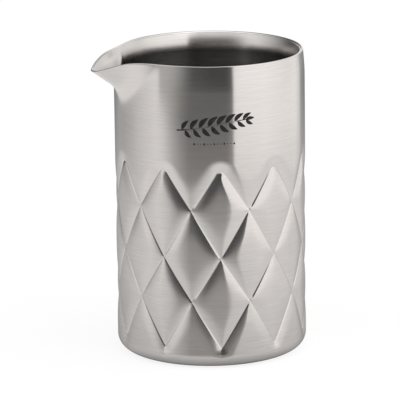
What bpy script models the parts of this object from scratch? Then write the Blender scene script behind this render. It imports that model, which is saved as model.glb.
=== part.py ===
"""Double-walled steel mixing glass with a pinched pouring lip and an embossed
diamond lattice.

Frame: metres, +Z up.  The origin is on the vessel's axis, in the plane it
stands on.  The lip points along -X, and the vessel is symmetric about the
XZ plane.  phi is the angle about the axis measured from the lip, so a lattice
column lies under the lip.
"""

import math

import bmesh
import bpy
from mathutils import Vector

MM = 0.001

# ---------------------------------------------------------------- body
HEIGHT = 144.0 * MM            # foot plane to the top of the rim
BODY_R = 45.0 * MM             # outer radius of the plain wall
RIM_R = 44.2 * MM              # outer radius at the rim, after the neck
NECK_H = 12.0 * MM             # height over which the wall necks in
CORNER_R = 6.6 * MM            # outer corner above the foot
SHEET = 0.5 * MM               # sheet thickness of both walls
GAP = 0.3 * MM                 # working gap between neighbouring pieces
EDGE_DROP = 1.2 * MM           # both sheets stop this far below the rim top

# ---------------------------------------------------------------- inner cup
WALL_T = 4.0 * MM              # outer face to the cup's inner face, plain wall
RIM_T = 2.0 * SHEET + GAP      # the same at the rim, where the walls meet
FLARE_H = 8.3 * MM             # height over which the cup flares to the rim
FLOOR_Z = 10.0 * MM            # inside floor
FLOOR_CORNER_R = 8.0 * MM      # inside corner

# ---------------------------------------------------------------- pouring lip
LIP_REACH = 15.5 * MM          # how far the tip stands out from the rim circle
LIP_DROP = 5.55 * MM           # how far the tip lies below the rim plane
LIP_SPREAD = math.radians(74.5)    # half angle over which the rim is disturbed
LIP_ROUND = 0.115              # rounding of the tip, as a share of the spread
FOLD_1_Z = 123.1 * MM          # lowest point of the outer fold under the lip
FOLD_1_RISE = 19.6 * MM        # rise of that fold out to its ends
FOLD_1_HALF = math.radians(31.5)   # half angle between its ends
FOLD_1_OUT = 0.43              # how steeply the wall leans out above it
FOLD_1_SOFT = 1.6 * MM         # softness of the fold
FOLD_2_Z = 130.3 * MM          # lowest point of the second fold, under the tip
FOLD_2_HALF = math.radians(24.0)
FOLD_2_SOFT = 1.8 * MM
FORM_Z = 112.0 * MM            # below this height the wall is undisturbed

# ---------------------------------------------------------------- lattice
COLUMNS = 10                   # diamonds around the body
PITCH = 2.0 * math.pi / COLUMNS
LEVELS = (96.2 * MM, 75.5 * MM, 52.8 * MM, 31.8 * MM, 9.5 * MM)
HALF = 0.5 * PITCH * BODY_R    # half a column, measured round the wall
WALL_SLOPE = 0.245             # fall of the walls beside a crease
WALL_STRAIGHT = 2.6 * MM       # they fall straight this far out
GROOVE_REACH = 5.8 * MM        # and have levelled off here
SLOT_DEPTH = 0.12 * MM         # the fine line at the bottom of a crease
SLOT_REACH = 0.45 * MM
CORNER_POW = 2.1               # rounds the corners of the pads
PEAK_ROUND = 2.5 * MM          # rounding of the creases at the upper peaks
TOE_ROUND = 0.7 * MM           # and at the lower toes
PER_HALF = 4                   # mesh columns in half a pitch
STEPS = 2 * COLUMNS * PER_HALF

# ---------------------------------------------------------------- base
FOOT_R = 38.4 * MM             # inner end of the corner, on the foot plane
COVER_R = 37.1 * MM
COVER_T = 0.6 * MM
PAN_R = 35.6 * MM
PAN_Z = 2.0 * MM               # underside of the pan
PAN_T = 0.6 * MM
WELL_R = 7.0 * MM              # raised well round the evacuation hole
WELL_Z = 3.6 * MM
HOLE_R = 0.9 * MM
WELD_R = 0.35 * MM             # radius of the base weld
BEAD_R = 0.45 * MM             # radius of the rim bead
GETTER_X = 20.0 * MM
GETTER_R = 4.0 * MM
GETTER_H = 1.8 * MM
CLIP_T = 0.3 * MM
CLIP_W = 3.0 * MM


# ================================================================ the rule of the surface
def smooth(t):
    t = min(max(t, 0.0), 1.0)
    return t * t * (3.0 - 2.0 * t)


def lip_shape(phi):
    """Signed share of the lip's reach at angle phi: 1 at the tip, slightly
    negative on either side, where the rim is drawn in."""
    u = min(abs(phi) / LIP_SPREAD, 1.0)
    n = LIP_ROUND
    us = (math.hypot(u, n) - n) / (math.hypot(1.0, n) - n)
    return (1.0 - us) ** 2.32 * (1.0 - 3.0 * us + 1.33 * us * us)


def soft_min(a, b, k):
    return 0.5 * (a + b - math.sqrt((a - b) ** 2 + k * k))


def outer_fold(phi):
    """Height of the fold line that bounds the lip on the wall."""
    t = math.hypot(abs(phi) / FOLD_1_HALF, 0.04) - 0.04
    return soft_min(FOLD_1_Z + FOLD_1_RISE * t ** 1.4, HEIGHT - 3.0 * MM, 1.5 * MM)


def tip_fold(phi):
    """Height of the second fold, from which the tip reaches out."""
    t = math.hypot(abs(phi) / FOLD_2_HALF, 0.05) - 0.05
    return soft_min(FOLD_2_Z + (HEIGHT - FOLD_2_Z) * t ** 1.2, HEIGHT - 2.0 * MM, 1.5 * MM)


def above_fold(zn, h, soft):
    """0 below the fold at height h, rising in a straight line to 1 at the rim."""
    def ramp(z):
        return 0.5 * ((z - h) + math.hypot(z - h, soft))

    low = ramp(FORM_Z)
    return max(0.0, (ramp(zn) - low) / (ramp(HEIGHT) - low))


def blend_distances(*distances):
    """One distance from several, with the corners between them rounded."""
    total = sum(max(d, 1.0e-7) ** -CORNER_POW for d in distances)
    return total ** (-1.0 / CORNER_POW)


def wedge(a, up, half_angle, rounding, mitre):
    """Signed distance from a rounded corner that points along +up: positive
    outside it."""
    up += rounding / math.sin(half_angle)
    nx, ny = math.cos(half_angle), math.sin(half_angle)
    right = a * nx + up * ny
    left = -a * nx + up * ny
    nearest = max(right, left)
    if nearest <= 0.0:
        return -blend_distances(-right, -left) - rounding
    if abs(a) * ny - up * nx < 0.0:
        nearest = mitre * nearest + (1.0 - mitre) * math.hypot(a, up)
    return nearest - rounding


def line_distance(a, z, p, q):
    """Signed distance from the line p-q, positive on its upper side."""
    dx, dz = q[0] - p[0], q[1] - p[1]
    side = 1.0 if dz < 0.0 else -1.0
    return side * (-(a - p[0]) * dz + (z - p[1]) * dx) / math.hypot(dx, dz)


def crease_distance(phi, z):
    """Distance on the unrolled wall to the nearest line of the lattice."""
    u = BODY_R * ((phi + 0.5 * PITCH) % PITCH - 0.5 * PITCH)
    a = abs(u)
    z0, z1, z2, z3, z4 = LEVELS
    lines = [((0.0, z0), (HALF, z1)), ((HALF, z1), (0.0, z2)),
             ((0.0, z2), (HALF, z3)), ((HALF, z3), (0.0, z4))]
    own = [line_distance(a, z, *ln) for ln in lines]
    mirrored = [line_distance(-a, z, *ln) for ln in lines]
    facing = [line_distance(2.0 * HALF - a, z, *ln) for ln in lines]
    top = math.atan2(HALF, z0 - z1)
    toe = math.atan2(HALF, z3 - z4)
    peak = wedge(a, z - z0, top, PEAK_ROUND, 0.0)
    foot = wedge(a, z4 - z, toe, TOE_ROUND, 0.55)
    if z >= z1 and peak > 0.0:
        return blend_distances(peak, wedge(2.0 * HALF - a, z - z0, top, PEAK_ROUND, 0.0))
    if z >= z2:
        if z < z1 and own[1] > 0.0:
            return blend_distances(own[1], own[2], facing[1], facing[2])
        return blend_distances(-peak, -own[1], -mirrored[1])
    if z >= z3:
        if own[2] > 0.0:
            return blend_distances(own[1], own[2], facing[1], facing[2])
        return blend_distances(-foot, -own[2], -mirrored[2])
    if foot > 0.0:
        return blend_distances(foot, wedge(2.0 * HALF - a, z4 - z, toe, TOE_ROUND, 0.55))
    return blend_distances(-foot, -own[2], -mirrored[2])


def relief(phi, z):
    """How far the embossed wall lies inside the plain radius."""
    d = crease_distance(phi, z)
    bend = GROOVE_REACH - WALL_STRAIGHT
    left = max(0.0, GROOVE_REACH - d)
    wall = WALL_SLOPE * (left * left / (2.0 * bend) if left < bend else left - 0.5 * bend)
    slot = SLOT_DEPTH * max(0.0, 1.0 - d / SLOT_REACH)
    return (wall + slot) * smooth((z - 1.2 * MM) / (4.4 * MM))


def outer_point(phi, zn, r=None):
    """A point of the outer face; zn is its height before the lip is formed."""
    if r is None:
        t = min(max((zn - HEIGHT + NECK_H) / NECK_H, 0.0), 1.0)
        r = BODY_R - (BODY_R - RIM_R) * t ** 1.6
    s = lip_shape(phi)
    pos = 0.5 * (s + math.hypot(s, 0.01))
    neg = s - pos
    full = LIP_REACH * pos
    first = min(full, soft_min(full, FOLD_1_OUT * (HEIGHT - outer_fold(phi)), 0.6 * MM))
    q1 = above_fold(zn, outer_fold(phi), FOLD_1_SOFT)
    q2 = above_fold(zn, tip_fold(phi), FOLD_2_SOFT)
    r += first * q1 + (full - first) * q2
    r += LIP_REACH * neg * smooth((zn - FORM_Z) / (HEIGHT - FORM_Z))
    drop = LIP_DROP * pos ** 3.04 * (1.0 + 2.16 * (1.0 - pos))
    z = zn - drop * q2
    return Vector((-r * math.cos(phi), r * math.sin(phi), z))


def outer_normal(phi, zn):
    e = 1.0e-4
    along = outer_point(phi + e, zn) - outer_point(phi - e, zn)
    up = outer_point(phi, zn + e * BODY_R) - outer_point(phi, zn - e * BODY_R)
    n = up.cross(along)
    n.normalize()
    p = outer_point(phi, zn)
    return n if n.x * p.x + n.y * p.y > 0.0 else -n


def wall_depth(phi, zn):
    """Outer face to the cup's inner face, measured square to the wall."""
    flare = min(max((zn - HEIGHT + FLARE_H) / (FLARE_H - EDGE_DROP), 0.0), 1.0) ** 1.25
    s = max(lip_shape(phi), 0.0)
    lip = smooth(above_fold(zn, outer_fold(phi), FOLD_1_SOFT) * 1.35) * smooth(s * 4.0)
    return RIM_T + (WALL_T - RIM_T) * (1.0 - flare) * (1.0 - lip)


def sheet_point(phi, zn, depth):
    p = outer_point(phi, zn)
    return p - outer_normal(phi, zn) * depth


# ================================================================ helpers
def clear_scene():
    for ob in list(bpy.data.objects):
        bpy.data.objects.remove(ob, do_unlink=True)


def make_collection(name):
    coll = bpy.data.collections.new(name)
    bpy.context.scene.collection.children.link(coll)
    return coll


def steel(name, colour, roughness, metallic=1.0):
    mat = bpy.data.materials.new(name)
    mat.use_nodes = True
    bsdf = mat.node_tree.nodes["Principled BSDF"]
    bsdf.inputs["Base Color"].default_value = (*colour, 1.0)
    bsdf.inputs["Roughness"].default_value = roughness
    bsdf.inputs["Metallic"].default_value = metallic
    return mat


def turned(name, profile, steps, coll, mat=None, close=False):
    """A profile of (r, z) turned about Z by a Screw modifier."""
    mesh = bpy.data.meshes.new(name)
    bm = bmesh.new()
    verts = [bm.verts.new((r, 0.0, z)) for r, z in profile]
    for a, b in zip(verts, verts[1:]):
        bm.edges.new((a, b))
    if close:
        bm.edges.new((verts[-1], verts[0]))
    bm.to_mesh(mesh)
    bm.free()
    ob = bpy.data.objects.new(name, mesh)
    coll.objects.link(ob)
    screw = ob.modifiers.new("turn", "SCREW")
    screw.axis = "Z"
    screw.angle = 2.0 * math.pi
    screw.steps = steps
    screw.render_steps = steps
    screw.use_merge_vertices = True
    screw.merge_threshold = 1.0e-6
    if mat is not None:
        mesh.materials.append(mat)
    return ob


def arc(cx, cz, radius, start, end, count):
    """Points of an arc in the profile plane, ends included."""
    pts = []
    for i in range(count + 1):
        a = math.radians(start + (end - start) * i / count)
        pts.append((cx + radius * math.cos(a), cz + radius * math.sin(a)))
    return pts


def made_real(ob):
    """The object with its modifiers turned into plain mesh."""
    deps = bpy.context.evaluated_depsgraph_get()
    mesh = bpy.data.meshes.new_from_object(ob.evaluated_get(deps))
    name = ob.name
    coll = ob.users_collection[0]
    bpy.data.objects.remove(ob, do_unlink=True)
    mesh.name = name
    new = bpy.data.objects.new(name, mesh)
    coll.objects.link(new)
    return new


def set_smooth(ob, degrees=32.0):
    ob.data.shade_smooth()
    ob.data.set_sharp_from_angle(angle=math.radians(degrees))


def split_along_grooves(bm, depth_of):
    """Each quad is split along the diagonal that lies deeper in the relief,
    so that a groove never runs across a face."""
    for face in list(bm.faces):
        if len(face.verts) != 4:
            continue
        v = face.verts[:]
        mids = [(v[0].co + v[2].co) / 2.0, (v[1].co + v[3].co) / 2.0]
        deep = [depth_of(m) for m in mids]
        pair = (v[0], v[2]) if deep[0] > deep[1] + 1.0e-6 else (v[1], v[3])
        if abs(deep[0] - deep[1]) <= 1.0e-6:
            d0 = (v[0].co - v[2].co).length
            d1 = (v[1].co - v[3].co).length
            pair = (v[0], v[2]) if d0 <= d1 else (v[1], v[3])
        bmesh.utils.face_split(face, pair[0], pair[1])


def angle_from_lip(co):
    return math.atan2(co.y, -co.x)


# ================================================================ the two walls
UPPER_ROWS = (142.8, 141.2, 139.0, 136.5, 133.5, 130.5, 127.5, 124.5, 121.0, 116.5)


def build_outer_shell(coll, mat):
    profile = []
    for z in UPPER_ROWS:
        t = min(max((z * MM - HEIGHT + NECK_H) / NECK_H, 0.0), 1.0)
        profile.append((BODY_R - (BODY_R - RIM_R) * t ** 1.6, z * MM))
    profile.append((BODY_R, 106.0 * MM))
    profile.append((BODY_R, LEVELS[0]))
    for za, zb in zip(LEVELS, LEVELS[1:]):
        for i in range(1, PER_HALF + 1):
            profile.append((BODY_R, za + (zb - za) * i / PER_HALF))
    profile += arc(BODY_R - CORNER_R, CORNER_R, CORNER_R, 0.0, -90.0, 4)
    profile += [(37.65 * MM, 0.35 * MM), (37.45 * MM, 1.0 * MM),
                (37.15 * MM, 1.75 * MM), (36.55 * MM, PAN_Z), (36.0 * MM, PAN_Z)]
    ob = made_real(turned("outer_shell", profile, STEPS, coll, mat))
    bm = bmesh.new()
    bm.from_mesh(ob.data)
    groove_of = {}
    for v in bm.verts:
        phi = angle_from_lip(v.co)
        r = math.hypot(v.co.x, v.co.y)
        zn = v.co.z
        if zn > FORM_Z:
            v.co = outer_point(phi, zn, r)
        elif zn > 2.2 * MM:
            cut = r - relief(phi, zn)
            v.co = Vector((-cut * math.cos(phi), cut * math.sin(phi), zn))
    split_along_grooves(
        bm, lambda m: BODY_R - math.hypot(m.x, m.y) if LEVELS[-1] < m.z < LEVELS[0] else 0.0)
    bm.to_mesh(ob.data)
    bm.free()
    solid = ob.modifiers.new("sheet", "SOLIDIFY")
    solid.thickness = SHEET
    solid.offset = -1.0
    solid.use_even_offset = True
    set_smooth(ob, 23.0)
    return ob


def build_inner_cup(coll, mat):
    wall_r = BODY_R - WALL_T
    profile = [(0.0, FLOOR_Z), (17.0 * MM, FLOOR_Z)]
    profile += arc(wall_r - FLOOR_CORNER_R, FLOOR_Z + FLOOR_CORNER_R, FLOOR_CORNER_R,
                   -90.0, 0.0, 4)
    profile.append((wall_r, 106.0 * MM))
    profile += [(wall_r, z * MM) for z in reversed(UPPER_ROWS)]
    ob = made_real(turned("inner_cup", profile, STEPS, coll, mat))
    bm = bmesh.new()
    bm.from_mesh(ob.data)
    for v in bm.verts:
        if v.co.z > FORM_Z:
            phi = angle_from_lip(v.co)
            v.co = sheet_point(phi, v.co.z, wall_depth(phi, v.co.z))
    bm.to_mesh(ob.data)
    bm.free()
    solid = ob.modifiers.new("sheet", "SOLIDIFY")
    solid.thickness = SHEET
    solid.offset = -1.0
    solid.use_even_offset = True
    set_smooth(ob)
    return ob


def build_rim_weld(coll, mat):
    """A round bead that closes the two sheets along the whole rim."""
    curve = bpy.data.curves.new("rim_weld", "CURVE")
    curve.dimensions = "3D"
    count = 96
    spline = curve.splines.new("POLY")
    spline.points.add(count - 1)
    for i in range(count):
        t = 2.0 * math.pi * i / count - math.pi
        phi = t * (0.62 + 0.38 * (t / math.pi) ** 2)       # closer together at the lip
        p = sheet_point(phi, HEIGHT - BEAD_R, 0.5 * RIM_T)
        spline.points[i].co = (p.x, p.y, p.z, 1.0)
    spline.use_cyclic_u = True
    curve.bevel_depth = BEAD_R
    curve.bevel_resolution = 1
    curve.materials.append(mat)
    ob = bpy.data.objects.new("rim_weld", curve)
    coll.objects.link(ob)
    return ob


# ================================================================ the base
def build_base_pan(coll, mat):
    top = PAN_Z + PAN_T
    well_top = WELL_Z + PAN_T
    profile = [(HOLE_R, well_top), (WELL_R, well_top), (WELL_R + 1.8 * MM, top), (PAN_R, top),
               (PAN_R, PAN_Z), (WELL_R + 1.4 * MM, PAN_Z), (WELL_R - 0.4 * MM, WELL_Z),
               (HOLE_R, WELL_Z)]
    ob = turned("base_pan", profile, 48, coll, mat, close=True)
    set_smooth(ob)
    return ob


def build_base_weld(coll, mat):
    ring = arc(0.5 * (36.0 * MM + PAN_R), PAN_Z - GAP - WELD_R, WELD_R, 90.0, -234.0, 9)
    ob = turned("base_weld", ring, 48, coll, mat, close=True)
    set_smooth(ob, 50.0)
    return ob


def build_seal_plug(coll, mat):
    stem = HOLE_R - GAP
    head_top = WELL_Z - GAP
    profile = [(0.0, WELL_Z + PAN_T), (stem, WELL_Z + PAN_T), (stem, head_top),
               (2.2 * MM, head_top), (2.4 * MM, head_top - 0.4 * MM),
               (1.9 * MM, head_top - 0.85 * MM), (1.0 * MM, head_top - 1.1 * MM),
               (0.0, head_top - 1.2 * MM)]
    ob = turned("seal_plug", profile, 24, coll, mat)
    set_smooth(ob)
    return ob


def build_getter(coll, mat):
    base = PAN_Z + PAN_T + GAP
    c = 0.4 * MM
    profile = [(0.0, base + GETTER_H), (GETTER_R - c, base + GETTER_H),
               (GETTER_R, base + GETTER_H - c), (GETTER_R, base + c), (GETTER_R - c, base),
               (0.0, base)]
    ob = turned("getter", profile, 28, coll, mat)
    ob.location = (GETTER_X, 0.0, 0.0)
    set_smooth(ob)
    return ob


def build_getter_clip(coll, mat):
    """A folded strap over the getter, with a flat foot at either end."""
    foot_z = PAN_Z + PAN_T + GAP
    top_z = foot_z + GETTER_H + GAP
    reach = GETTER_R + 0.9 * MM
    path = [(-reach - 3.0 * MM, foot_z), (-reach, foot_z), (-reach + 0.4 * MM, top_z),
            (reach - 0.4 * MM, top_z), (reach, foot_z), (reach + 3.0 * MM, foot_z)]
    mesh = bpy.data.meshes.new("getter_clip")
    bm = bmesh.new()
    rows = [(bm.verts.new((GETTER_X - 0.5 * CLIP_W, y, z)),
             bm.verts.new((GETTER_X + 0.5 * CLIP_W, y, z))) for y, z in path]
    for (a, b), (c, d) in zip(rows, rows[1:]):
        bm.faces.new((a, b, d, c))
    bm.to_mesh(mesh)
    bm.free()
    mesh.materials.append(mat)
    ob = bpy.data.objects.new("getter_clip", mesh)
    coll.objects.link(ob)
    solid = ob.modifiers.new("strap", "SOLIDIFY")
    solid.thickness = CLIP_T
    solid.offset = 1.0
    solid.use_even_offset = True
    return ob


def build_base_cover(coll, mat):
    b = 0.15 * MM
    ring_r = 30.0 * MM
    profile = [(0.0, COVER_T), (COVER_R - b, COVER_T), (COVER_R, COVER_T - b), (COVER_R, b),
               (COVER_R - b, 0.0), (ring_r, 0.0), (0.0, 0.0)]
    ob = turned("base_cover", profile, STEPS, coll, mat)
    set_smooth(ob)
    return ob


def main():
    clear_scene()
    coll = make_collection("mixing_glass")
    build_outer_shell(coll, steel("outer_steel", (0.50, 0.47, 0.45), 0.30))
    build_inner_cup(coll, steel("inner_steel", (0.42, 0.39, 0.37), 0.34))
    build_rim_weld(coll, steel("rim_steel", (0.62, 0.60, 0.58), 0.16))
    build_base_pan(coll, steel("pan_steel", (0.45, 0.43, 0.42), 0.38))
    build_base_weld(coll, steel("weld_steel", (0.38, 0.36, 0.36), 0.42))
    build_seal_plug(coll, steel("seal_braze", (0.46, 0.40, 0.30), 0.45))
    build_getter(coll, steel("getter_tablet", (0.16, 0.16, 0.17), 0.80, 0.3))
    build_getter_clip(coll, steel("clip_steel", (0.50, 0.49, 0.48), 0.32))
    build_base_cover(coll, steel("cover_steel", (0.50, 0.47, 0.45), 0.32))


main()
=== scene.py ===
"""The looks of a double-walled steel mixing glass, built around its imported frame."""

import math

import bpy
import numpy as np
from mathutils import Matrix, Vector


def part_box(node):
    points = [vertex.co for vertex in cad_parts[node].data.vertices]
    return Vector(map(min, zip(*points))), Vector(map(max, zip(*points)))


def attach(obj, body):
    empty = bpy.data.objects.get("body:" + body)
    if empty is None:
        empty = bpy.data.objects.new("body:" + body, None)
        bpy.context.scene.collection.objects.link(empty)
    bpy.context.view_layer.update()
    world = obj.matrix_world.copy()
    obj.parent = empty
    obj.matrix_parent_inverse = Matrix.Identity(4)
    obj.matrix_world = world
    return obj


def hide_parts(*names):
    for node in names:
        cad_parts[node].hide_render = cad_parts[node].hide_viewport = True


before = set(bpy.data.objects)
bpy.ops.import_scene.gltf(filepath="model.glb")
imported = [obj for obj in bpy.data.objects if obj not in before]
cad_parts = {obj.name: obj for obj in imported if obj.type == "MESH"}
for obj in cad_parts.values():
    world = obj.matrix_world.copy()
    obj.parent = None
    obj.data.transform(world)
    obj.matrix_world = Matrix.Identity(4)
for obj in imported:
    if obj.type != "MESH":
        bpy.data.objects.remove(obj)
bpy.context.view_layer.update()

MM = 0.001

# ------------------------------------------------------------------ sizes, taken from the frame
shell_lo, shell_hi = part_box("outer_shell")
weld_lo, weld_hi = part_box("rim_weld")
cup_lo, cup_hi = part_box("inner_cup")
cover_lo, cover_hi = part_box("base_cover")

H = round(weld_hi.z, 4)                       # rim top
R = round(shell_hi.y, 4)                      # plain outer radius
RIM_R = R - 0.8 * MM
NECK_H = 12.0 * MM
CORNER_R = 6.6 * MM
SHEET = 0.5 * MM
WALL_T = 4.0 * MM
RIM_T = 1.15 * MM
FLARE_H = 8.35 * MM
FLOOR_Z = cup_lo.z + SHEET
FLOOR_CORNER_R = 8.0 * MM
BEAD_H = 0.62 * MM

REACH = 15.5 * MM
DROP = 5.55 * MM
SPREAD = math.radians(74.5)
ROUND = 0.115
FOLD1_Z, FOLD1_RISE, FOLD1_HALF, FOLD1_POW = 123.1 * MM, 19.6 * MM, math.radians(31.5), 1.4
FOLD2_Z, FOLD2_HALF, FOLD2_POW = 130.3 * MM, math.radians(24.0), 1.2
SOFT1, SOFT2 = 2.1 * MM, 1.8 * MM
SLOPE1 = 0.43
FORM_Z = 112.0 * MM

COLUMNS = 10
PITCH = 2.0 * math.pi / COLUMNS
LEVELS = np.array([96.2, 75.5, 52.8, 31.8, 9.5]) * MM
HALF = 0.5 * PITCH * R                        # half a column, measured round the wall
WALL_SLOPE = 0.245                            # fall of the walls beside a crease
WALL_STRAIGHT = 3.0 * MM                      # they fall straight this far out ...
GROOVE_REACH = 5.6 * MM                       # ... and have levelled off here
EDGE_SLOPE = 0.12                              # steeper close to the crease
EDGE_REACH = 2.2 * MM
VALLEY_ROUND = 0.55 * MM                       # half width of the rounded bottom
SLOT_DEPTH = 0.19 * MM                        # the sharp line pressed at the bottom
SLOT_REACH = 0.45 * MM
CORNER_POW = 1.7                              # rounds the corners of the pads
PEAK_ROUND = 2.5 * MM
TOE_ROUND = 0.7 * MM
PER_HALF = 24
NC = 2 * COLUMNS * PER_HALF                   # columns of the fine grids
OFFSETS = [0.2, 0.45, 0.8, 1.3, 1.9, 2.6, 3.4, 4.2, 5.0, 5.8, 6.8, 8.6]


# ------------------------------------------------------------------ the rule of the surface
def smooth(t):
    t = np.clip(t, 0.0, 1.0)
    return t * t * (3.0 - 2.0 * t)


def soft_min(a, b, k):
    return 0.5 * (a + b - np.sqrt((a - b) ** 2 + k * k))


def from_lip(phi):
    """Unsigned angle from the lip's middle."""
    return np.abs((np.asarray(phi, float) + math.pi) % (2.0 * math.pi) - math.pi)


def lip_shape(phi):
    u = np.minimum(from_lip(phi) / SPREAD, 1.0)
    n = ROUND
    us = (np.hypot(u, n) - n) / (math.hypot(1.0, n) - n)
    return (1.0 - us) ** 2.32 * (1.0 - 3.0 * us + 1.33 * us * us)


def fold1(phi):
    t = from_lip(phi) / FOLD1_HALF
    t = np.hypot(t, 0.04) - 0.04
    return soft_min(FOLD1_Z + FOLD1_RISE * t ** FOLD1_POW, H - 3.0 * MM, 1.5 * MM)


def fold2(phi):
    t = from_lip(phi) / FOLD2_HALF
    t = np.hypot(t, 0.05) - 0.05
    return soft_min(FOLD2_Z + (H - FOLD2_Z) * t ** FOLD2_POW, H - 2.0 * MM, 1.5 * MM)


def ramp(zn, h, soft):
    def f(z):
        return 0.5 * ((z - h) + np.hypot(z - h, soft))
    low = f(FORM_Z)
    return np.maximum(0.0, (f(zn) - low) / (f(H) - low))


def plain_radius(zn):
    t = np.clip((zn - H + NECK_H) / NECK_H, 0.0, 1.0)
    return R - (R - RIM_R) * t ** 1.6


def blend_distances(*ds):
    """One distance from several, with the corners between them rounded."""
    total = 0.0
    for d in ds:
        total = total + np.maximum(d, 1.0e-7) ** -CORNER_POW
    return total ** (-1.0 / CORNER_POW)


def wedge(a, up, half_angle, rounding, mitre):
    """Signed distance from a rounded corner that points along +up: positive outside."""
    up = up + rounding / math.sin(half_angle)
    nx, ny = math.cos(half_angle), math.sin(half_angle)
    right = a * nx + up * ny
    left = -a * nx + up * ny
    away = np.hypot(a, up)
    before = np.abs(a) * ny - up * nx < 0.0
    nearest = np.maximum(right, left)
    outside = np.where(before, mitre * nearest + (1.0 - mitre) * away, nearest)
    inside = -blend_distances(-right, -left)
    return np.where(nearest > 0.0, outside, inside) - rounding


def line_distance(a, z, p, q):
    """Signed distance from the line p-q, positive on the side of larger a."""
    dx, dz = q[0] - p[0], q[1] - p[1]
    n = math.hypot(dx, dz)
    side = 1.0 if dz < 0.0 else -1.0
    return side * (-(a - p[0]) * dz + (z - p[1]) * dx) / n


def crease_distance(u, z):
    """Distance from the nearest pressed line. u runs round the wall from a peak's column."""
    a = np.abs(u)
    w = HALF
    z0, z1, z2, z3, z4 = LEVELS
    lines = [((0.0, z0), (w, z1)), ((w, z1), (0.0, z2)), ((0.0, z2), (w, z3)), ((w, z3), (0.0, z4))]
    s = [line_distance(a, z, *ln) for ln in lines]
    m = [line_distance(-a, z, *ln) for ln in lines]          # the same lines mirrored about u = 0
    f = [line_distance(2.0 * w - a, z, *ln) for ln in lines]  # and about the column's edge
    top_angle = math.atan2(w, z0 - z1)
    toe_angle = math.atan2(w, z3 - z4)
    peak = wedge(a, z - z0, top_angle, PEAK_ROUND, 0.0)
    peak_far = wedge(2.0 * w - a, z - z0, top_angle, PEAK_ROUND, 0.0)
    toe = wedge(a, z4 - z, toe_angle, TOE_ROUND, 0.55)
    toe_far = wedge(2.0 * w - a, z4 - z, toe_angle, TOE_ROUND, 0.55)
    above = blend_distances(peak, peak_far)
    pad0 = blend_distances(-peak, -s[1], -m[1])
    pad1 = blend_distances(s[1], s[2], f[1], f[2])
    pad2 = blend_distances(-toe, -s[2], -m[2])
    below = blend_distances(toe, toe_far)
    d = np.where(peak > 0.0, above, pad0)
    d = np.where((z < z1) & (s[1] > 0.0), pad1, d)
    d = np.where(z < z2, np.where(s[2] > 0.0, pad1, pad2), d)
    d = np.where(z < z3, np.where(toe > 0.0, below, pad2), d)
    return d


def relief(phi, z):
    """How deep the pressed lattice lies under the plain wall."""
    phi, z = np.broadcast_arrays(np.asarray(phi, float), np.asarray(z, float))
    u = R * ((phi + 0.5 * PITCH) % PITCH - 0.5 * PITCH)
    d = crease_distance(u, z)
    bend = GROOVE_REACH - WALL_STRAIGHT
    left = np.maximum(0.0, GROOVE_REACH - np.hypot(d, VALLEY_ROUND))
    wall = WALL_SLOPE * np.where(left < bend, left ** 2 / (2.0 * bend), left - 0.5 * bend)
    wall = wall + EDGE_SLOPE * np.maximum(0.0, EDGE_REACH - np.hypot(d, VALLEY_ROUND)) ** 2 / (2.0 * EDGE_REACH)
    # the lines that climb to the right stop short of the crossings
    rising = (np.where(u > 0.0, 1, -1) * np.where((z > LEVELS[1]) | ((z < LEVELS[2]) & (z > LEVELS[3])), 1, -1)) > 0
    cross = np.full(np.shape(u), 1.0)
    for i, z_i in enumerate(LEVELS[1:4]):
        for x_i in ((-HALF, HALF) if i % 2 == 0 else (0.0,)):
            cross = np.minimum(cross, np.hypot(u - x_i, z - z_i))
    fade = np.where(rising, smooth((cross - 0.9 * MM) / (1.8 * MM)), 1.0)
    slot = SLOT_DEPTH * fade * np.maximum(0.0, 1.0 - d / SLOT_REACH) ** 1.2
    return (wall + slot) * smooth((z - 1.2 * MM) / (4.4 * MM))


def outer_point(phi, zn, r=None):
    phi, zn = np.broadcast_arrays(np.asarray(phi, float), np.asarray(zn, float))
    base = plain_radius(zn) if r is None else r
    s = lip_shape(phi)
    pos = 0.5 * (s + np.hypot(s, 0.01))
    neg = s - pos
    full = REACH * pos
    first = np.minimum(full, soft_min(full, SLOPE1 * (H - fold1(phi)), 0.6 * MM))
    q1 = ramp(zn, fold1(phi), SOFT1)
    q2 = ramp(zn, fold2(phi), SOFT2)
    rr = base + first * q1 + (full - first) * q2
    rr = rr + REACH * neg * smooth((zn - FORM_Z) / (H - FORM_Z))
    drop = DROP * pos ** 3.04 * (1.0 + 2.16 * (1.0 - pos))
    z = zn - drop * q2
    return np.stack([-rr * np.cos(phi), rr * np.sin(phi), z], -1)


def outer_normal(phi, zn):
    e = 2.0e-4
    along = outer_point(phi + e, zn) - outer_point(phi - e, zn)
    up = outer_point(phi, zn + e * R) - outer_point(phi, zn - e * R)
    n = np.cross(up, along)
    n /= np.linalg.norm(n, axis=-1, keepdims=True)
    p = outer_point(phi, zn)
    side = np.sign(n[..., 0] * p[..., 0] + n[..., 1] * p[..., 1])
    return n * side[..., None]


def wall_depth(phi, zn):
    flare = np.clip((zn - H + FLARE_H) / FLARE_H, 0.0, 1.0) ** 2.0
    s = np.maximum(lip_shape(phi), 0.0)
    share = np.maximum(ramp(zn, fold1(phi), SOFT1), 0.0)
    lip = smooth(share * 1.35) * smooth(s * 4.0)
    return RIM_T + (WALL_T - RIM_T) * (1.0 - flare) * (1.0 - lip)


def sheet_point(phi, zn, depth):
    return outer_point(phi, zn) - outer_normal(phi, zn) * np.asarray(depth)[..., None]


def ring(radius, z, phi):
    phi = np.asarray(phi, float)
    return np.stack([-radius * np.cos(phi), radius * np.sin(phi), np.full_like(phi, z)], -1)


def arc(cx, cz, radius, start, end, count):
    a = np.radians(np.linspace(start, end, count + 1))
    return [(cx + radius * math.cos(t), cz + radius * math.sin(t)) for t in a]


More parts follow.
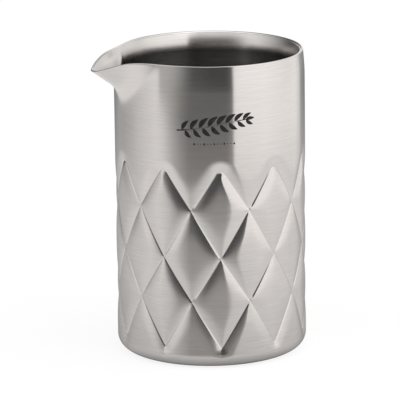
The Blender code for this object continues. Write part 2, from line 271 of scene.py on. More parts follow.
# ------------------------------------------------------------------ mesh helpers
def new_object(name, verts, faces, sharp=32.0):
    mesh = bpy.data.meshes.new(name)
    mesh.from_pydata([tuple(v) for v in np.asarray(verts, float)], [], faces)
    mesh.validate()
    mesh.update()
    mesh.shade_smooth()
    mesh.set_sharp_from_angle(angle=math.radians(sharp))
    ob = bpy.data.objects.new(name, mesh)
    bpy.context.scene.collection.objects.link(ob)
    return ob


def grid_faces(rows, cols, close_rows=False, flip=False, diagonal=None, start=0):
    """Faces of a grid whose columns close on themselves. diagonal(row, col) gives 0 for
    a quad and 1 or 2 for the way a pair of triangles is cut."""
    faces = []
    last = rows if close_rows else rows - 1
    for i in range(last):
        a = start + i * cols
        b = start + ((i + 1) % rows) * cols
        for j in range(cols):
            k = (j + 1) % cols
            q = (a + j, b + j, b + k, a + k)
            cut = diagonal(i, j) if diagonal else 0
            if cut == 1:
                parts = [(q[0], q[1], q[2]), (q[0], q[2], q[3])]
            elif cut == 2:
                parts = [(q[0], q[1], q[3]), (q[1], q[2], q[3])]
            else:
                parts = [q]
            faces += [p[::-1] for p in parts] if flip else parts
    return faces


def solid_from_profile(name, profile, count, sharp=32.0):
    """A turned solid. The profile runs down the outer side, from the axis or closed."""
    phi = np.arange(count) * 2.0 * math.pi / count
    on_axis = [r < 1.0e-9 for r, _ in profile]
    verts, faces = [], []
    if on_axis[0] and on_axis[-1]:
        inner = profile[1:-1]
        for r, z in inner:
            verts.append(ring(r, z, phi))
        verts = np.concatenate(verts)
        top, bottom = len(verts), len(verts) + 1
        verts = np.concatenate([verts, [[0, 0, profile[0][1]], [0, 0, profile[-1][1]]]])
        faces = grid_faces(len(inner), count, flip=True)
        base = (len(inner) - 1) * count
        for j in range(count):
            k = (j + 1) % count
            faces.append((top, k, j))
            faces.append((bottom, base + j, base + k))
    else:
        for r, z in profile:
            verts.append(ring(r, z, phi))
        verts = np.concatenate(verts)
        faces = grid_faces(len(profile), count, close_rows=True, flip=True)
    return new_object(name, verts, faces, sharp)


def fix_normals(ob):
    import bmesh
    bm = bmesh.new()
    bm.from_mesh(ob.data)
    bmesh.ops.recalc_face_normals(bm, faces=bm.faces)
    if bm.calc_volume(signed=True) < 0.0:
        bmesh.ops.reverse_faces(bm, faces=bm.faces)
    bm.to_mesh(ob.data)
    bm.free()


# ------------------------------------------------------------------ the outer wall
def foot_radius(z):
    """Radius of the wall without relief, down round the foot's corner."""
    drop = np.clip(CORNER_R - z, 0.0, CORNER_R)
    return R - CORNER_R + np.sqrt(np.maximum(CORNER_R ** 2 - drop ** 2, 0.0))


def lattice_tile(rows_above, rows_below):
    """One column of the lattice, unrolled: (u, z) points and faces, with edges along every
    pressed line and beside it."""
    import bmesh
    k = 1.0 / MM
    w = HALF * k
    lv = LEVELS * k
    us = np.linspace(-w, w, 2 * PER_HALF + 1)
    zs = [z * k for z in rows_above] + [float(z) for z in lv] + [z * k for z in rows_below]
    bm = bmesh.new()
    grid = [[bm.verts.new((u, z, 0.0)) for u in us] for z in zs]
    for i in range(len(zs) - 1):
        for j in range(len(us) - 1):
            bm.faces.new((grid[i][j], grid[i + 1][j], grid[i + 1][j + 1], grid[i][j + 1]))
    for i in range(4):
        za, zb = lv[i], lv[i + 1]
        for sgn in (1.0, -1.0):
            xa, xb = (0.0, w) if i % 2 == 0 else (w, 0.0)
            xa, xb = sgn * xa, sgn * xb
            along = Vector((xb - xa, zb - za, 0.0)).normalized()
            across = Vector((along.y, -along.x, 0.0))
            for off in [0.0] + OFFSETS + [-o for o in OFFSETS]:
                co = Vector((xa, za, 0.0)) + across * off
                faces = [f for f in bm.faces
                         if zb < f.calc_center_median().y < za and f.calc_center_median().x * sgn > 0.0]
                edges = list({e for f in faces for e in f.edges})
                verts = list({v for f in faces for v in f.verts})
                bmesh.ops.bisect_plane(bm, geom=verts + edges + faces, dist=2.0e-3, plane_co=co,
                                       plane_no=across)
    bmesh.ops.triangulate(bm, faces=bm.faces[:], quad_method="BEAUTY", ngon_method="BEAUTY")
    bm.verts.index_update()
    pts = np.array([(v.co.x, v.co.y) for v in bm.verts]) * MM
    tris = [tuple(v.index for v in f.verts) for f in bm.faces]
    bm.free()
    # slide the points beside a peak so that the crease follows its rounding
    half_angle = math.atan2(HALF, LEVELS[0] - LEVELS[1])
    slope = (LEVELS[0] - LEVELS[1]) / HALF
    centre = LEVELS[0] - PEAK_ROUND / math.sin(half_angle)
    a = np.abs(pts[:, 0])
    on_arc = centre + np.sqrt(np.maximum(PEAK_ROUND ** 2 - a ** 2, 0.0))
    line = LEVELS[0] - slope * a
    gap = np.where(a < PEAK_ROUND * math.cos(half_angle), line - on_arc, 0.0)
    reach = np.abs(pts[:, 1] - line) / (2.6 * MM)
    pts[:, 1] -= gap * np.exp(-reach ** 2)
    return pts, tris


def build_outer_shell():
    phi = np.arange(NC) * 2.0 * math.pi / NC
    top = H - BEAD_H
    above = [FORM_Z, 109.0 * MM, 106.5 * MM, 104.3 * MM] + \
        [LEVELS[0] + d * MM for d in (7.4, 6.4, 5.5, 4.7, 4.0, 3.4, 2.8, 2.2, 1.7, 1.2, 0.8, 0.4)]
    below = [LEVELS[4] - d * MM for d in (0.4, 0.8, 1.2, 1.6, 2.0, 2.45)] + \
        [CORNER_R * (1.0 - math.sin(math.radians(t))) for t in (0.0, 7.0, 14.0, 21.0, 28.0, 35.0)]
    pts, tris = lattice_tile(above, below)
    seam_hi = {round(p[1] / MM, 3): i for i, p in enumerate(pts) if abs(p[0] - HALF) < 1.0e-7}
    weld = {}
    for i, p in enumerate(pts):
        if abs(p[0] + HALF) < 1.0e-7:
            weld[i] = seam_hi[round(p[1] / MM, 3)]
    own = [i for i in range(len(pts)) if i not in weld]
    place = {i: k for k, i in enumerate(own)}
    n_own = len(own)

    rows = []
    upper = np.concatenate([
        top - np.linspace(0.0, 1.0, 5)[:-1] * 2.0 * MM,
        np.linspace(top - 2.0 * MM, FORM_Z, 42)[:-1]])
    for z in upper:
        rows.append(outer_point(phi, np.full(NC, z)))
    n_upper = len(rows)
    start = n_upper * NC

    def tile_vertex(col, i):
        if i in weld:
            return start + ((col - 1) % COLUMNS) * n_own + place[weld[i]]
        return start + (col % COLUMNS) * n_own + place[i]

    tile_pts = []
    p = pts[own]
    for col in range(COLUMNS):
        f = col * PITCH + p[:, 0] / R
        r = foot_radius(p[:, 1]) - relief(f, p[:, 1])
        tile_pts.append(np.stack([-r * np.cos(f), r * np.sin(f), p[:, 1]], -1))
    verts = rows + tile_pts
    faces = grid_faces(n_upper, NC, flip=True)
    for col in range(COLUMNS):
        for t in tris:
            faces.append(tuple(tile_vertex(col, i) for i in t))

    def border(z):
        """The tile's points on one level, all the way round, in step with the grid columns."""
        idx = [i for i in range(len(pts)) if abs(pts[i, 1] - z) < 1.0e-7]
        idx.sort(key=lambda i: pts[i, 0])
        loop = []
        for col in range(COLUMNS):
            loop += [tile_vertex(col, i) for i in idx[1:]]
        shift = PER_HALF - 1                      # the entry at angle zero
        return loop[shift:] + loop[:shift]

    join_top = border(FORM_Z)
    last = (n_upper - 1) * NC
    for j in range(NC):
        k = (j + 1) % NC
        faces.append((last + j, last + k, join_top[k], join_top[j]))
    z_low = below[-1]
    join_low = border(z_low)
    base = start + COLUMNS * n_own

    low = arc(R - CORNER_R, CORNER_R, CORNER_R, -35.0, -90.0, 9)[1:]
    rows = []
    for r0, z in low:
        r = r0 - relief(phi, np.full(NC, z))
        rows.append(np.stack([-r * np.cos(phi), r * np.sin(phi), np.full(NC, z)], -1))
    foot = R - CORNER_R
    curl = arc(foot, 0.8 * MM, 0.8 * MM, -90.0, -170.0, 5)[1:]
    curl += [(37.55 * MM, 1.25 * MM), (37.3 * MM, 1.7 * MM), (36.9 * MM, 1.95 * MM),
             (36.4 * MM, 2.0 * MM), (36.0 * MM, 2.0 * MM)]
    for r, z in curl:
        rows.append(ring(r, z, phi))
    # the hidden side of the sheet, back up to the rim
    hidden = [(36.0 * MM, 2.5 * MM), (37.3 * MM, 2.45 * MM), (38.0 * MM, 1.6 * MM),
              (38.5 * MM, 0.6 * MM)]
    hidden += arc(foot, CORNER_R, CORNER_R - 0.6 * MM, -88.0, -8.0, 6)
    hidden += [(R - 1.55 * MM, 12.0 * MM), (R - 1.55 * MM, 60.0 * MM), (R - 1.55 * MM, 92.0 * MM),
               (R - SHEET, 106.0 * MM)]
    for r, z in hidden:
        rows.append(ring(r, z, phi))
    for z in np.linspace(FORM_Z + 0.5 * MM, top, 14):
        rows.append(sheet_point(phi, np.full(NC, z), np.full(NC, SHEET)))
    verts += rows
    faces += grid_faces(len(rows), NC, flip=True, start=base)
    for j in range(NC):
        k = (j + 1) % NC
        faces.append((join_low[j], join_low[k], base + k, base + j))
        end = base + (len(rows) - 1) * NC
        faces.append((end + j, end + k, k, j))
    ob = new_object("outer_shell_skin", np.concatenate(verts), faces, 30.0)
    fix_normals(ob)
    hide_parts("outer_shell")
    return ob


# ------------------------------------------------------------------ the inner cup
def build_inner_cup():
    count = NC // 2
    phi = np.arange(count) * 2.0 * math.pi / count
    wall_r = R - WALL_T
    top = H - BEAD_H
    profile = [(r, FLOOR_Z) for r in np.linspace(2.0 * MM, wall_r - FLOOR_CORNER_R, 9)[:-1]]
    profile += arc(wall_r - FLOOR_CORNER_R, FLOOR_Z + FLOOR_CORNER_R, FLOOR_CORNER_R, -90.0, 0.0, 12)
    profile += [(wall_r, z) for z in np.linspace(18.0 * MM, FORM_Z, 9)[1:]]
    rows = [ring(r, z, phi) for r, z in profile]
    for z in np.linspace(FORM_Z, top, 52)[1:]:
        zz = np.full(count, z)
        rows.append(sheet_point(phi, zz, wall_depth(phi, zz)))
    n_seen = len(rows)
    for z in np.linspace(top, FORM_Z, 24)[:-1]:
        zz = np.full(count, z)
        rows.append(sheet_point(phi, zz, wall_depth(phi, zz) - SHEET))
    back = [(wall_r + SHEET, FORM_Z), (wall_r + SHEET, 60.0 * MM)]
    back += arc(wall_r - FLOOR_CORNER_R, FLOOR_Z + FLOOR_CORNER_R, FLOOR_CORNER_R + SHEET, 0.0, -90.0, 8)
    back += [(12.0 * MM, FLOOR_Z - SHEET)]
    rows += [ring(r, z, phi) for r, z in back]
    verts = np.concatenate(rows)
    faces = grid_faces(len(rows), count)
    a, b = len(verts), len(verts) + 1
    verts = np.concatenate([verts, [[0, 0, FLOOR_Z], [0, 0, FLOOR_Z - SHEET]]])
    last = (len(rows) - 1) * count
    for j in range(count):
        k = (j + 1) % count
        faces.append((a, j, k))
        faces.append((b, last + k, last + j))
    ob = new_object("inner_cup_skin", verts, faces, 40.0)
    fix_normals(ob)
    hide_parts("inner_cup")
    return ob


# ------------------------------------------------------------------ the rim
def build_rim():
    """The ground and polished edge that closes the two sheets."""
    phi = np.arange(NC) * 2.0 * math.pi / NC
    base = H - BEAD_H + 0.02 * MM
    top = BEAD_H - 0.02 * MM
    t = RIM_T
    e = 0.02 * MM
    section = [(e, 0.0), (e, 0.68 * top), (e + 0.04 * MM, 0.86 * top), (0.14 * MM, 0.97 * top),
               (0.22 * MM, top), (0.42 * t, top), (t - 0.56 * MM, 0.96 * top),
               (t - 0.42 * MM, 0.82 * top), (t - 0.26 * MM, 0.58 * top),
               (t - 0.12 * MM, 0.29 * top), (t - e, 0.0)]
    edge = np.full(NC, base)
    low = outer_point(phi, edge)
    up = outer_point(phi, np.full(NC, H - 0.02 * MM)) - outer_point(phi, np.full(NC, H - 1.02 * MM))
    up /= np.linalg.norm(up, axis=-1, keepdims=True)
    n = outer_normal(phi, edge)
    rows = [low - n * across + up * rise for across, rise in section]
    faces = grid_faces(len(rows), NC, close_rows=True)
    ob = new_object("rim_edge", np.concatenate(rows), faces, 50.0)
    fix_normals(ob)
    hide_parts("rim_weld")
    return ob


# ------------------------------------------------------------------ the base
def build_base_cover():
    rad = cover_hi.x
    t = cover_hi.z
    profile = [(0.0, t)] + [(r, t) for r in np.linspace(4 * MM, rad - 0.25 * MM, 6)]
    profile += arc(rad - 0.2 * MM, t - 0.2 * MM, 0.2 * MM, 80.0, 0.0, 4)
    profile += arc(rad - 0.2 * MM, 0.2 * MM, 0.2 * MM, 0.0, -90.0, 4)
    profile += [(r, 0.0) for r in np.linspace(rad - 0.6 * MM, 3 * MM, 10)] + [(0.0, 0.0)]
    ob = solid_from_profile("base_cover_disc", profile, 240)
    fix_normals(ob)
    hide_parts("base_cover")
    return ob


# ------------------------------------------------------------------ the printed sprig
def build_sprig():
    """A leafy sprig over a dotted rule, printed dark on the wall: thin flat pieces bent round it."""
    middle = math.radians(-21.5)              # across the front, from -Y towards +X
    lift, thick = 0.03 * MM, 0.035 * MM
    verts, faces = [], []

    def slab(outline, inner):
        """A thin plate from rings of (across, up) points that shrink towards a middle."""
        first = len(verts)
        n = len(outline)
        layers = [(outline, lift - thick), (outline, lift), (inner, lift + 0.004 * MM)]
        for pts, h in layers:
            for x, z in pts:
                t = middle + x / R
                r = R + h
                verts.append((r * math.sin(t), -r * math.cos(t), z))
        for lay in range(2):
            for i in range(n):
                j = (i + 1) % n
                a, b = first + lay * n, first + (lay + 1) * n
                faces.append((a + i, a + j, b + j, b + i))
        faces.append(tuple(first + 2 * n + i for i in range(n)))
        faces.append(tuple(first + i for i in reversed(range(n))))

    def leaf(x, z, length, width, angle, bow=0.16):
        c, s_ = math.cos(angle), math.sin(angle)
        side, other = [], []
        steps = 9
        for i in range(steps + 1):
            t = i / steps
            half = 0.5 * width * math.sin(math.pi * t ** 0.8) ** 0.85 if 0 < i < steps else 0.0
            mid = bow * length * math.sin(math.pi * t)
            side.append((t * length, mid + half))
            other.append((t * length, mid - half))
        ring_ = other[:-1] + side[::-1][:-1]
        cx = sum(p[0] for p in ring_) / len(ring_)
        cy = sum(p[1] for p in ring_) / len(ring_)
        put = lambda p: (x + p[0] * c - p[1] * s_, z + p[0] * s_ + p[1] * c)
        shrink = [(cx + (p[0] - cx) * 0.86, cy + (p[1] - cy) * 0.86) for p in ring_]
        slab([put(p) for p in ring_], [put(p) for p in shrink])

    def stem_z(x):
        return 116.6 * MM + 1.5 * MM * math.sin(x / (11.5 * MM)) + x * 0.05

    # the stem, tapering to its tip
    x0, x1, steps = -17.6 * MM, 15.2 * MM, 34
    up, down = [], []
    for i in range(steps + 1):
        t = i / steps
        x = x0 + (x1 - x0) * t
        half = (0.52 - 0.26 * t) * MM * 0.5 + 0.06 * MM
        up.append((x, stem_z(x) + half))
        down.append((x, stem_z(x) - half))
    outline = down + up[::-1]
    slab(outline, [(x, stem_z(x) + (z - stem_z(x)) * 0.7) for x, z in outline])

    # leaves in pairs, larger in the middle of the sprig
    count = 8
    for i in range(count):
        t = (i + 0.6) / count
        x = x0 + (x1 - x0) * t
        size = (0.62 + 0.38 * math.sin(math.pi * (0.15 + 0.75 * t)))
        lean = 0.95 - 0.35 * t
        leaf(x, stem_z(x) + 0.15 * MM, 6.6 * MM * size, 2.35 * MM * size, lean, 0.10)
        leaf(x + 1.5 * MM, stem_z(x + 1.5 * MM) - 0.15 * MM, 5.6 * MM * size, 2.15 * MM * size,
             -lean + 0.05, -0.10)
    leaf(x1 - 0.2 * MM, stem_z(x1), 4.4 * MM, 1.7 * MM, 0.12, 0.05)

    # a fine dotted rule with small diamonds beneath
    z_rule = 107.9 * MM
    for i in range(-6, 7):
        x = i * 1.55 * MM
        h = 0.62 * MM if i % 3 == 0 else 0.30 * MM
        w_ = 0.50 * MM if i % 3 == 0 else 0.30 * MM
        o = [(x + w_, z_rule), (x, z_rule + h), (x - w_, z_rule), (x, z_rule - h)]
        slab(o, [(x + (p - x) * 0.8, z_rule + (q - z_rule) * 0.8) for p, q in o])
    ob = new_object("printed_sprig", verts, faces, 30.0)
    fix_normals(ob)
    return ob


# ------------------------------------------------------------------ materials
def ink():
    """Matt dark ink, a little worn and mottled."""
    mat = bpy.data.materials.new("ink")
    tree, nodes, links, bsdf = nodes_of(mat)
    coord = nodes.new("ShaderNodeTexCoord")
    n = nodes.new("ShaderNodeTexNoise")
    n.inputs["Scale"].default_value = 900.0
    n.inputs["Detail"].default_value = 4.0
    links.new(coord.outputs["Object"], n.inputs["Vector"])
    cr = nodes.new("ShaderNodeValToRGB")
    cr.color_ramp.elements[0].position = 0.35
    cr.color_ramp.elements[0].color = (0.010, 0.009, 0.009, 1.0)
    cr.color_ramp.elements[1].position = 0.75
    cr.color_ramp.elements[1].color = (0.034, 0.030, 0.028, 1.0)
    links.new(n.outputs["Fac"], cr.inputs["Fac"])
    links.new(cr.outputs["Color"], bsdf.inputs["Base Color"])
    rough = nodes.new("ShaderNodeMapRange")
    rough.inputs["To Min"].default_value = 0.45
    rough.inputs["To Max"].default_value = 0.62
    links.new(n.outputs["Fac"], rough.inputs["Value"])
    links.new(rough.outputs["Result"], bsdf.inputs["Roughness"])
    bsdf.inputs["Specular IOR Level"].default_value = 0.25
    return mat


def nodes_of(mat):
    mat.use_nodes = True
    tree = mat.node_tree
    return tree, tree.nodes, tree.links, tree.nodes["Principled BSDF"]


def brushed(name, colour, rough, aniso, streak=(22.0, 22.0, 1500.0), fine=(40.0, 40.0, 5200.0),
            bump=0.02, tone=0.05, rough_var=0.06, deep=None, bump_dist=0.00002, round_axis=False):
    """Brushed steel: streaks that run round the axis, in tone, roughness and bump. With deep, painted shade darkens
    the base colour below a height.
    """
    mat = bpy.data.materials.new(name)
    tree, nodes, links, bsdf = nodes_of(mat)
    coord = nodes.new("ShaderNodeTexCoord")

    # the brush marks follow the angle round the axis and the height, not the relief
    parts = nodes.new("ShaderNodeSeparateXYZ")
    links.new(coord.outputs["Object"], parts.inputs[0])
    flat = nodes.new("ShaderNodeCombineXYZ")
    links.new(parts.outputs["X"], flat.inputs["X"])
    links.new(parts.outputs["Y"], flat.inputs["Y"])
    unit = nodes.new("ShaderNodeVectorMath")
    unit.operation = "NORMALIZE"
    links.new(flat.outputs["Vector"], unit.inputs[0])
    turned = nodes.new("ShaderNodeVectorMath")
    turned.operation = "SCALE"
    turned.inputs["Scale"].default_value = R
    links.new(unit.outputs["Vector"], turned.inputs[0])
    lift = nodes.new("ShaderNodeCombineXYZ")
    links.new(parts.outputs["Z"], lift.inputs["Z"])
    wrapped = nodes.new("ShaderNodeVectorMath")
    wrapped.operation = "ADD"
    links.new(turned.outputs["Vector"], wrapped.inputs[0])
    links.new(lift.outputs["Vector"], wrapped.inputs[1])

    def noise(scale, detail, rough_):
        m = nodes.new("ShaderNodeMapping")
        m.inputs["Scale"].default_value = scale
        links.new(wrapped.outputs["Vector"] if round_axis else coord.outputs["Object"],
                  m.inputs["Vector"])
        n = nodes.new("ShaderNodeTexNoise")
        n.inputs["Scale"].default_value = 1.0
        n.inputs["Detail"].default_value = detail
        n.inputs["Roughness"].default_value = rough_
        links.new(m.outputs["Vector"], n.inputs["Vector"])
        return n.outputs["Fac"]

    broad = noise(streak, 3.0, 0.6)
    thin = noise(fine, 2.0, 0.6)
    cloud = noise((28.0, 28.0, 28.0), 2.0, 0.5)

    def mix_value(a, b, fac):
        n = nodes.new("ShaderNodeMix")
        n.data_type = "FLOAT"
        n.inputs["Factor"].default_value = fac
        links.new(a, n.inputs["A"])
        links.new(b, n.inputs["B"])
        return n.outputs["Result"]

    lines = mix_value(broad, thin, 0.45)

    def remap(value, lo, hi, fmin=0.3, fmax=0.7):
        n = nodes.new("ShaderNodeMapRange")
        n.inputs["From Min"].default_value = fmin
        n.inputs["From Max"].default_value = fmax
        n.inputs["To Min"].default_value = lo
        n.inputs["To Max"].default_value = hi
        links.new(value, n.inputs["Value"])
        return n.outputs["Result"]

    tone_v = remap(mix_value(lines, cloud, 0.25), 1.0 - tone, 1.0 + tone)
    col = nodes.new("ShaderNodeVectorMath")
    col.operation = "SCALE"
    col.inputs[0].default_value = colour
    links.new(tone_v, col.inputs["Scale"])
    if deep is None:
        links.new(col.outputs["Vector"], bsdf.inputs["Base Color"])
    else:
        # painted shade: below z0 the base colour is darkened to share, rising to full colour above z1
        z0, z1, share = deep
        sepz = nodes.new("ShaderNodeSeparateXYZ")
        links.new(coord.outputs["Object"], sepz.inputs[0])
        fall = nodes.new("ShaderNodeMapRange")
        fall.interpolation_type = "SMOOTHSTEP"
        fall.inputs["From Min"].default_value = z0
        fall.inputs["From Max"].default_value = z1
        fall.inputs["To Min"].default_value = share
        fall.inputs["To Max"].default_value = 1.0
        links.new(sepz.outputs["Z"], fall.inputs["Value"])
        painted_shade = nodes.new("ShaderNodeVectorMath")
        painted_shade.operation = "SCALE"
        links.new(col.outputs["Vector"], painted_shade.inputs[0])
        links.new(fall.outputs["Result"], painted_shade.inputs["Scale"])
        links.new(painted_shade.outputs["Vector"], bsdf.inputs["Base Color"])
    links.new(remap(mix_value(lines, cloud, 0.4), rough - rough_var, rough + rough_var),
              bsdf.inputs["Roughness"])
    bsdf.inputs["Metallic"].default_value = 1.0
    bsdf.inputs["Anisotropic"].default_value = aniso
    bsdf.inputs["Anisotropic Rotation"].default_value = 0.25
    tangent = nodes.new("ShaderNodeTangent")
    tangent.direction_type = "RADIAL"
    tangent.axis = "Z"
    links.new(tangent.outputs["Tangent"], bsdf.inputs["Tangent"])
    b = nodes.new("ShaderNodeBump")
    b.inputs["Strength"].default_value = bump
    b.inputs["Distance"].default_value = bump_dist
    links.new(lines, b.inputs["Height"])
    links.new(b.outputs["Normal"], bsdf.inputs["Normal"])
    return mat


def give(ob, mat):
    ob.data.materials.clear()
    ob.data.materials.append(mat)


# ------------------------------------------------------------------ build
shell = build_outer_shell()
cup = build_inner_cup()
rim = build_rim()
cover = build_base_cover()
sprig = build_sprig()

STEEL = (0.70, 0.665, 0.64)
give(shell, brushed("steel_outer", STEEL, 0.145, 0.88, streak=(60.0, 60.0, 3100.0), fine=(120.0, 120.0, 6000.0),
                    bump=0.004, rough_var=0.015, tone=0.10, round_axis=True))
# the cup's inside gets painted shade: its base colour is darkened to 0.54 below the flare near the rim
give(cup, brushed("steel_inner", (0.72, 0.685, 0.66), 0.22, 0.9, streak=(26.0, 26.0, 1100.0),
                  tone=0.10, rough_var=0.05, bump=0.008, deep=(0.1345, 0.1395, 0.54), round_axis=True))
give(rim, brushed("steel_rim", (0.74, 0.72, 0.70), 0.16, 0.3, bump=0.01, tone=0.02, rough_var=0.03))
give(cover, brushed("steel_cover", STEEL, 0.32, 0.9))
give(sprig, ink())
for ob in (shell, cup, rim, cover, sprig):
    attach(ob, "root")

plain = brushed("steel_pressed", (0.58, 0.56, 0.55), 0.38, 0.2, tone=0.04)
weldm = brushed("steel_weld", (0.46, 0.43, 0.42), 0.44, 0.1, tone=0.12)
braze = brushed("braze", (0.62, 0.50, 0.33), 0.42, 0.0, tone=0.08)
tablet = brushed("tablet", (0.14, 0.14, 0.15), 0.75, 0.0, tone=0.20)
for node, mat in (("base_pan", plain), ("base_weld", weldm), ("seal_plug", braze),
                  ("getter", tablet), ("getter_clip", plain)):
    give(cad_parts[node], mat)

# ------------------------------------------------------------------ floor
SPIN = math.radians(-24.0)        # the camera's azimuth in the object's frame


def build_floor():
    mesh = bpy.data.meshes.new("floor")
    s = 6.0
    mesh.from_pydata([(-s, -s, -0.0002), (s, -s, -0.0002), (s, s, -0.0002), (-s, s, -0.0002)], [],
                     [(0, 1, 2, 3)])
    ob = bpy.data.objects.new("floor", mesh)
    bpy.context.scene.collection.objects.link(ob)
    mat = bpy.data.materials.new("floor")
    mat.use_nodes = True
    tree = mat.node_tree
    nodes, links = tree.nodes, tree.links
    nodes.clear()
    out = nodes.new("ShaderNodeOutputMaterial")
    path = nodes.new("ShaderNodeLightPath")
    geo = nodes.new("ShaderNodeNewGeometry")
    sep = nodes.new("ShaderNodeSeparateXYZ")
    links.new(geo.outputs["Position"], sep.inputs[0])
    comb = nodes.new("ShaderNodeCombineXYZ")
    links.new(sep.outputs["X"], comb.inputs["X"])
    links.new(sep.outputs["Y"], comb.inputs["Y"])
    length = nodes.new("ShaderNodeVectorMath")
    length.operation = "LENGTH"
    links.new(comb.outputs["Vector"], length.inputs[0])
    dist = length.outputs["Value"]

    # what the eye sees: pale, with a faint contact shadow
    diffuse = nodes.new("ShaderNodeBsdfDiffuse")
    diffuse.inputs["Color"].default_value = (0.22, 0.22, 0.22, 1.0)
    glow = nodes.new("ShaderNodeEmission")
    glow.inputs["Color"].default_value = (1.0, 1.0, 1.0, 1.0)
    glow.inputs["Strength"].default_value = 0.84
    seen = nodes.new("ShaderNodeAddShader")
    links.new(diffuse.outputs[0], seen.inputs[0])
    links.new(glow.outputs[0], seen.inputs[1])

    # what the steel sees: painted light and shade of a lit table in an emission, dimmer towards the eye and at a
    # low angle, with a painted contact shadow round the foot
    def ramp_of(stops, value):
        n = nodes.new("ShaderNodeValToRGB")
        n.color_ramp.interpolation = "LINEAR"
        el = n.color_ramp.elements
        while len(el) < len(stops):
            el.new(0.5)
        for e_, (p_, v_) in zip(el, stops):
            e_.position = p_
            e_.color = (v_, v_, v_, 1.0)
        links.new(value, n.inputs["Fac"])
        return n.outputs["Color"]

    def calc(op, a, b=None):
        n = nodes.new("ShaderNodeMath")
        n.operation = op
        for i, v in enumerate((a, b)):
            if v is None:
                continue
            if isinstance(v, (int, float)):
                n.inputs[i].default_value = v
            else:
                links.new(v, n.inputs[i])
        return n.outputs[0]

    # painted contact shadow: the table's reflected light is darkened under and close round the glass's foot
    painted_contact_shadow = ramp_of([(0.0, 0.02), (0.039, 0.05), (0.044, 0.50), (0.055, 0.80), (0.10, 0.88),
                    (0.20, 1.0), (0.60, 1.0)], dist)
    to_eye = nodes.new("ShaderNodeSeparateXYZ")
    links.new(geo.outputs["Incoming"], to_eye.inputs[0])
    az = calc("ARCTAN2", calc("MULTIPLY", to_eye.outputs["X"], -1.0), to_eye.outputs["Y"])
    turn = calc("DIVIDE", calc("SUBTRACT", az, SPIN), 2.0 * math.pi)
    fac = calc("FRACT", calc("ADD", turn, 1.5))
    around = ramp_of([((a_ + 180.0) / 360.0, v_) for a_, v_ in (
        (-180, 0.36), (-138, 0.58), (-108, 0.70), (-68, 0.82), (-50, 0.70), (-34, 0.47), (-26, 0.36), (-18, 0.36),
        (0, 0.38), (20, 0.40), (30, 0.74), (70, 0.84), (125, 0.78), (150, 0.52), (180, 0.36))], fac)
    steep = nodes.new("ShaderNodeMapRange")
    steep.interpolation_type = "SMOOTHSTEP"
    steep.inputs["From Min"].default_value = 0.24
    steep.inputs["From Max"].default_value = 0.58
    links.new(to_eye.outputs["Z"], steep.inputs["Value"])
    lit = nodes.new("ShaderNodeMix")
    lit.data_type = "RGBA"
    links.new(steep.outputs["Result"], lit.inputs["Factor"])
    links.new(around, lit.inputs[6])
    lit.inputs[7].default_value = (0.92, 0.92, 0.92, 1.0)
    seen_by = nodes.new("ShaderNodeMix")
    seen_by.data_type = "RGBA"
    seen_by.blend_type = "MULTIPLY"
    seen_by.inputs["Factor"].default_value = 1.0
    links.new(painted_contact_shadow, seen_by.inputs[6])
    links.new(lit.outputs[2], seen_by.inputs[7])
    mirror = nodes.new("ShaderNodeEmission")
    links.new(seen_by.outputs[2], mirror.inputs["Color"])
    mirror.inputs["Strength"].default_value = 1.0
    clear = nodes.new("ShaderNodeBsdfTransparent")
    edge = nodes.new("ShaderNodeMapRange")
    edge.inputs["From Min"].default_value = 0.33
    edge.inputs["From Max"].default_value = 0.60
    links.new(dist, edge.inputs["Value"])
    reflected = nodes.new("ShaderNodeMixShader")
    links.new(edge.outputs["Result"], reflected.inputs["Fac"])
    links.new(mirror.outputs[0], reflected.inputs[1])
    links.new(clear.outputs[0], reflected.inputs[2])

    pick = nodes.new("ShaderNodeMixShader")
    links.new(path.outputs["Is Glossy Ray"], pick.inputs["Fac"])
    links.new(seen.outputs[0], pick.inputs[1])
    links.new(reflected.outputs[0], pick.inputs[2])
    links.new(pick.outputs[0], out.inputs["Surface"])
    mesh.materials.append(mat)
    return ob


floor = build_floor()


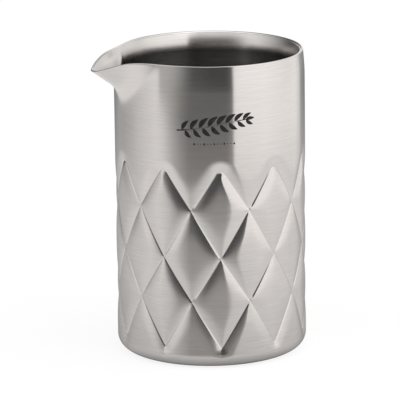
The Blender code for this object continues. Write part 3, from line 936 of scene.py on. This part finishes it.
# ------------------------------------------------------------------ studio light
def build_world():
    world = bpy.data.worlds.new("studio")
    bpy.context.scene.world = world
    world.use_nodes = True
    tree = world.node_tree
    nodes, links = tree.nodes, tree.links
    nodes.clear()
    out = nodes.new("ShaderNodeOutputWorld")
    bg = nodes.new("ShaderNodeBackground")
    links.new(bg.outputs[0], out.inputs["Surface"])
    coord = nodes.new("ShaderNodeTexCoord")
    sep = nodes.new("ShaderNodeSeparateXYZ")
    links.new(coord.outputs["Generated"], sep.inputs[0])

    def math_node(op, a, b=None, c=None):
        n = nodes.new("ShaderNodeMath")
        n.operation = op
        for i, v in enumerate((a, b, c)):
            if v is None:
                continue
            if isinstance(v, (int, float)):
                n.inputs[i].default_value = v
            else:
                links.new(v, n.inputs[i])
        return n.outputs[0]

    neg_y = math_node("MULTIPLY", sep.outputs["Y"], -1.0)
    az = math_node("ARCTAN2", sep.outputs["X"], neg_y)
    turn = math_node("SUBTRACT", az, SPIN)
    part = math_node("DIVIDE", turn, 2.0 * math.pi)
    fac = math_node("FRACT", math_node("ADD", part, 1.5))      # 0.5 faces the camera
    elev = math_node("ARCSINE", sep.outputs["Z"])
    elev01 = math_node("ADD", math_node("DIVIDE", elev, math.pi), 0.5)

    def ramp_node(stops, value, interp="LINEAR"):
        n = nodes.new("ShaderNodeValToRGB")
        n.color_ramp.interpolation = interp
        el = n.color_ramp.elements
        while len(el) < len(stops):
            el.new(0.5)
        for e_, (p_, v_) in zip(el, stops):
            e_.position = p_
            c = v_ if isinstance(v_, tuple) else (v_, v_, v_)
            e_.color = (*c, 1.0)
        links.new(value, n.inputs["Fac"])
        return n.outputs["Color"]

    def band(pairs):
        return [((a + 180.0) / 360.0, v) for a, v in pairs]

    # four belts of the room, from the table's height up to the ceiling
    middle = ramp_node(band([
        (-180, 0.18), (-160, 0.26), (-142, 0.42), (-128, 0.43), (-111, 0.52), (-95, 0.68), (-81, 0.79),
        (-69, 0.88), (-61, 0.82), (-56, 0.70), (-51, 0.52), (-46, 0.38), (-37, 0.22), (-26, 0.13), (0, 0.09),
        (22, 0.08), (27, 0.11), (30, 1.06), (40, 1.10), (70, 1.14), (100, 1.06), (125, 1.08),
        (137, 0.84), (144, 0.40), (152, 0.30), (180, 0.20)]), fac)
    dark = ramp_node(band([
        (-180, 1.0), (-168, 0.7), (-155, 0.16), (-136, 0.08), (-122, 0.16), (-108, 0.38), (-88, 0.68),
        (-68, 0.92), (-56, 0.90), (-46, 0.58), (-39, 0.36), (-31, 0.16), (-24, 0.08), (0, 0.05),
        (20, 0.05), (26.5, 0.13), (30, 1.06), (40, 1.12), (70, 1.16), (92, 1.08), (112, 0.90), (130, 0.94),
        (150, 0.9), (180, 1.0)]), fac)
    lower = ramp_node(band([
        (-180, 0.45), (-138, 0.60), (-108, 0.72), (-68, 0.98), (-48, 0.74), (-30, 0.56), (0, 0.52),
        (21, 0.52), (30, 1.08), (70, 1.18), (125, 1.10), (150, 0.60), (180, 0.45)]), fac)
    upper = ramp_node(band([
        (-180, 0.6), (-162, 0.35), (-140, 0.08), (-122, 0.16), (-106, 0.45), (-88, 0.90),
        (-60, 1.18), (0, 1.28), (14, 1.20), (26, 1.6), (42, 1.5), (60, 1.25), (88, 1.10), (104, 0.80), (116, 0.58), (138, 0.50), (180, 0.6)]), fac)
    e = lambda d: 0.5 + d / 180.0
    low_w = ramp_node([(e(-32), 1.0), (e(-15), 0.0)], elev01, "EASE")
    dark_w = ramp_node([(e(-11), 0.0), (e(1), 1.0)], elev01, "EASE")
    high_w = ramp_node([(e(a_), (w_,) * 3) for a_, w_ in (
        (8, 0.0), (18, 0.02), (24, 0.07), (30, 0.30), (35, 0.60), (42, 0.80), (50, 0.95), (56, 1.0))],
        elev01)

    def blend(fac_, a, b):
        n = nodes.new("ShaderNodeMix")
        n.data_type = "RGBA"
        links.new(fac_, n.inputs["Factor"])
        links.new(a, n.inputs[6])
        links.new(b, n.inputs[7])
        return n.outputs[2]

    sky = blend(high_w, blend(dark_w, blend(low_w, middle, lower), dark), upper)
    links.new(sky, bg.inputs["Color"])
    bg.inputs["Strength"].default_value = 1.0


build_world()

# ------------------------------------------------------------------ camera
ELEV = math.radians(13.62)
back = Vector((math.sin(SPIN) * math.cos(ELEV), -math.cos(SPIN) * math.cos(ELEV), math.sin(ELEV)))
target = Vector((0.0, 0.0, 0.5 * H))
place = target + back * 1.7019
fwd = -back
right = Vector((math.cos(SPIN), math.sin(SPIN), 0.0))
up0 = right.cross(fwd)
ROLL = -0.0106
right_r = right * math.cos(ROLL) + up0 * math.sin(ROLL)
up_r = -right * math.sin(ROLL) + up0 * math.cos(ROLL)
FOCAL = 3582.8 / 400.0                       # focal length in frame widths
aim = (fwd - right_r * (10.57 / 3582.8) - up_r * (2.92 / 3582.8)).normalized()
side = aim.cross(up_r).normalized()
top_dir = side.cross(aim).normalized()
cam_data = bpy.data.cameras.new("camera")
cam_data.sensor_width = 36.0
cam_data.lens = 36.0 * FOCAL
cam_data.clip_start = 0.05
cam_data.clip_end = 50.0
cam = bpy.data.objects.new("camera", cam_data)
cam.matrix_world = Matrix((
    (side.x, top_dir.x, -aim.x, place.x),
    (side.y, top_dir.y, -aim.y, place.y),
    (side.z, top_dir.z, -aim.z, place.z),
    (0.0, 0.0, 0.0, 1.0)))
bpy.context.scene.collection.objects.link(cam)
bpy.context.scene.camera = cam
bpy.context.scene.view_settings.view_transform = "Standard"
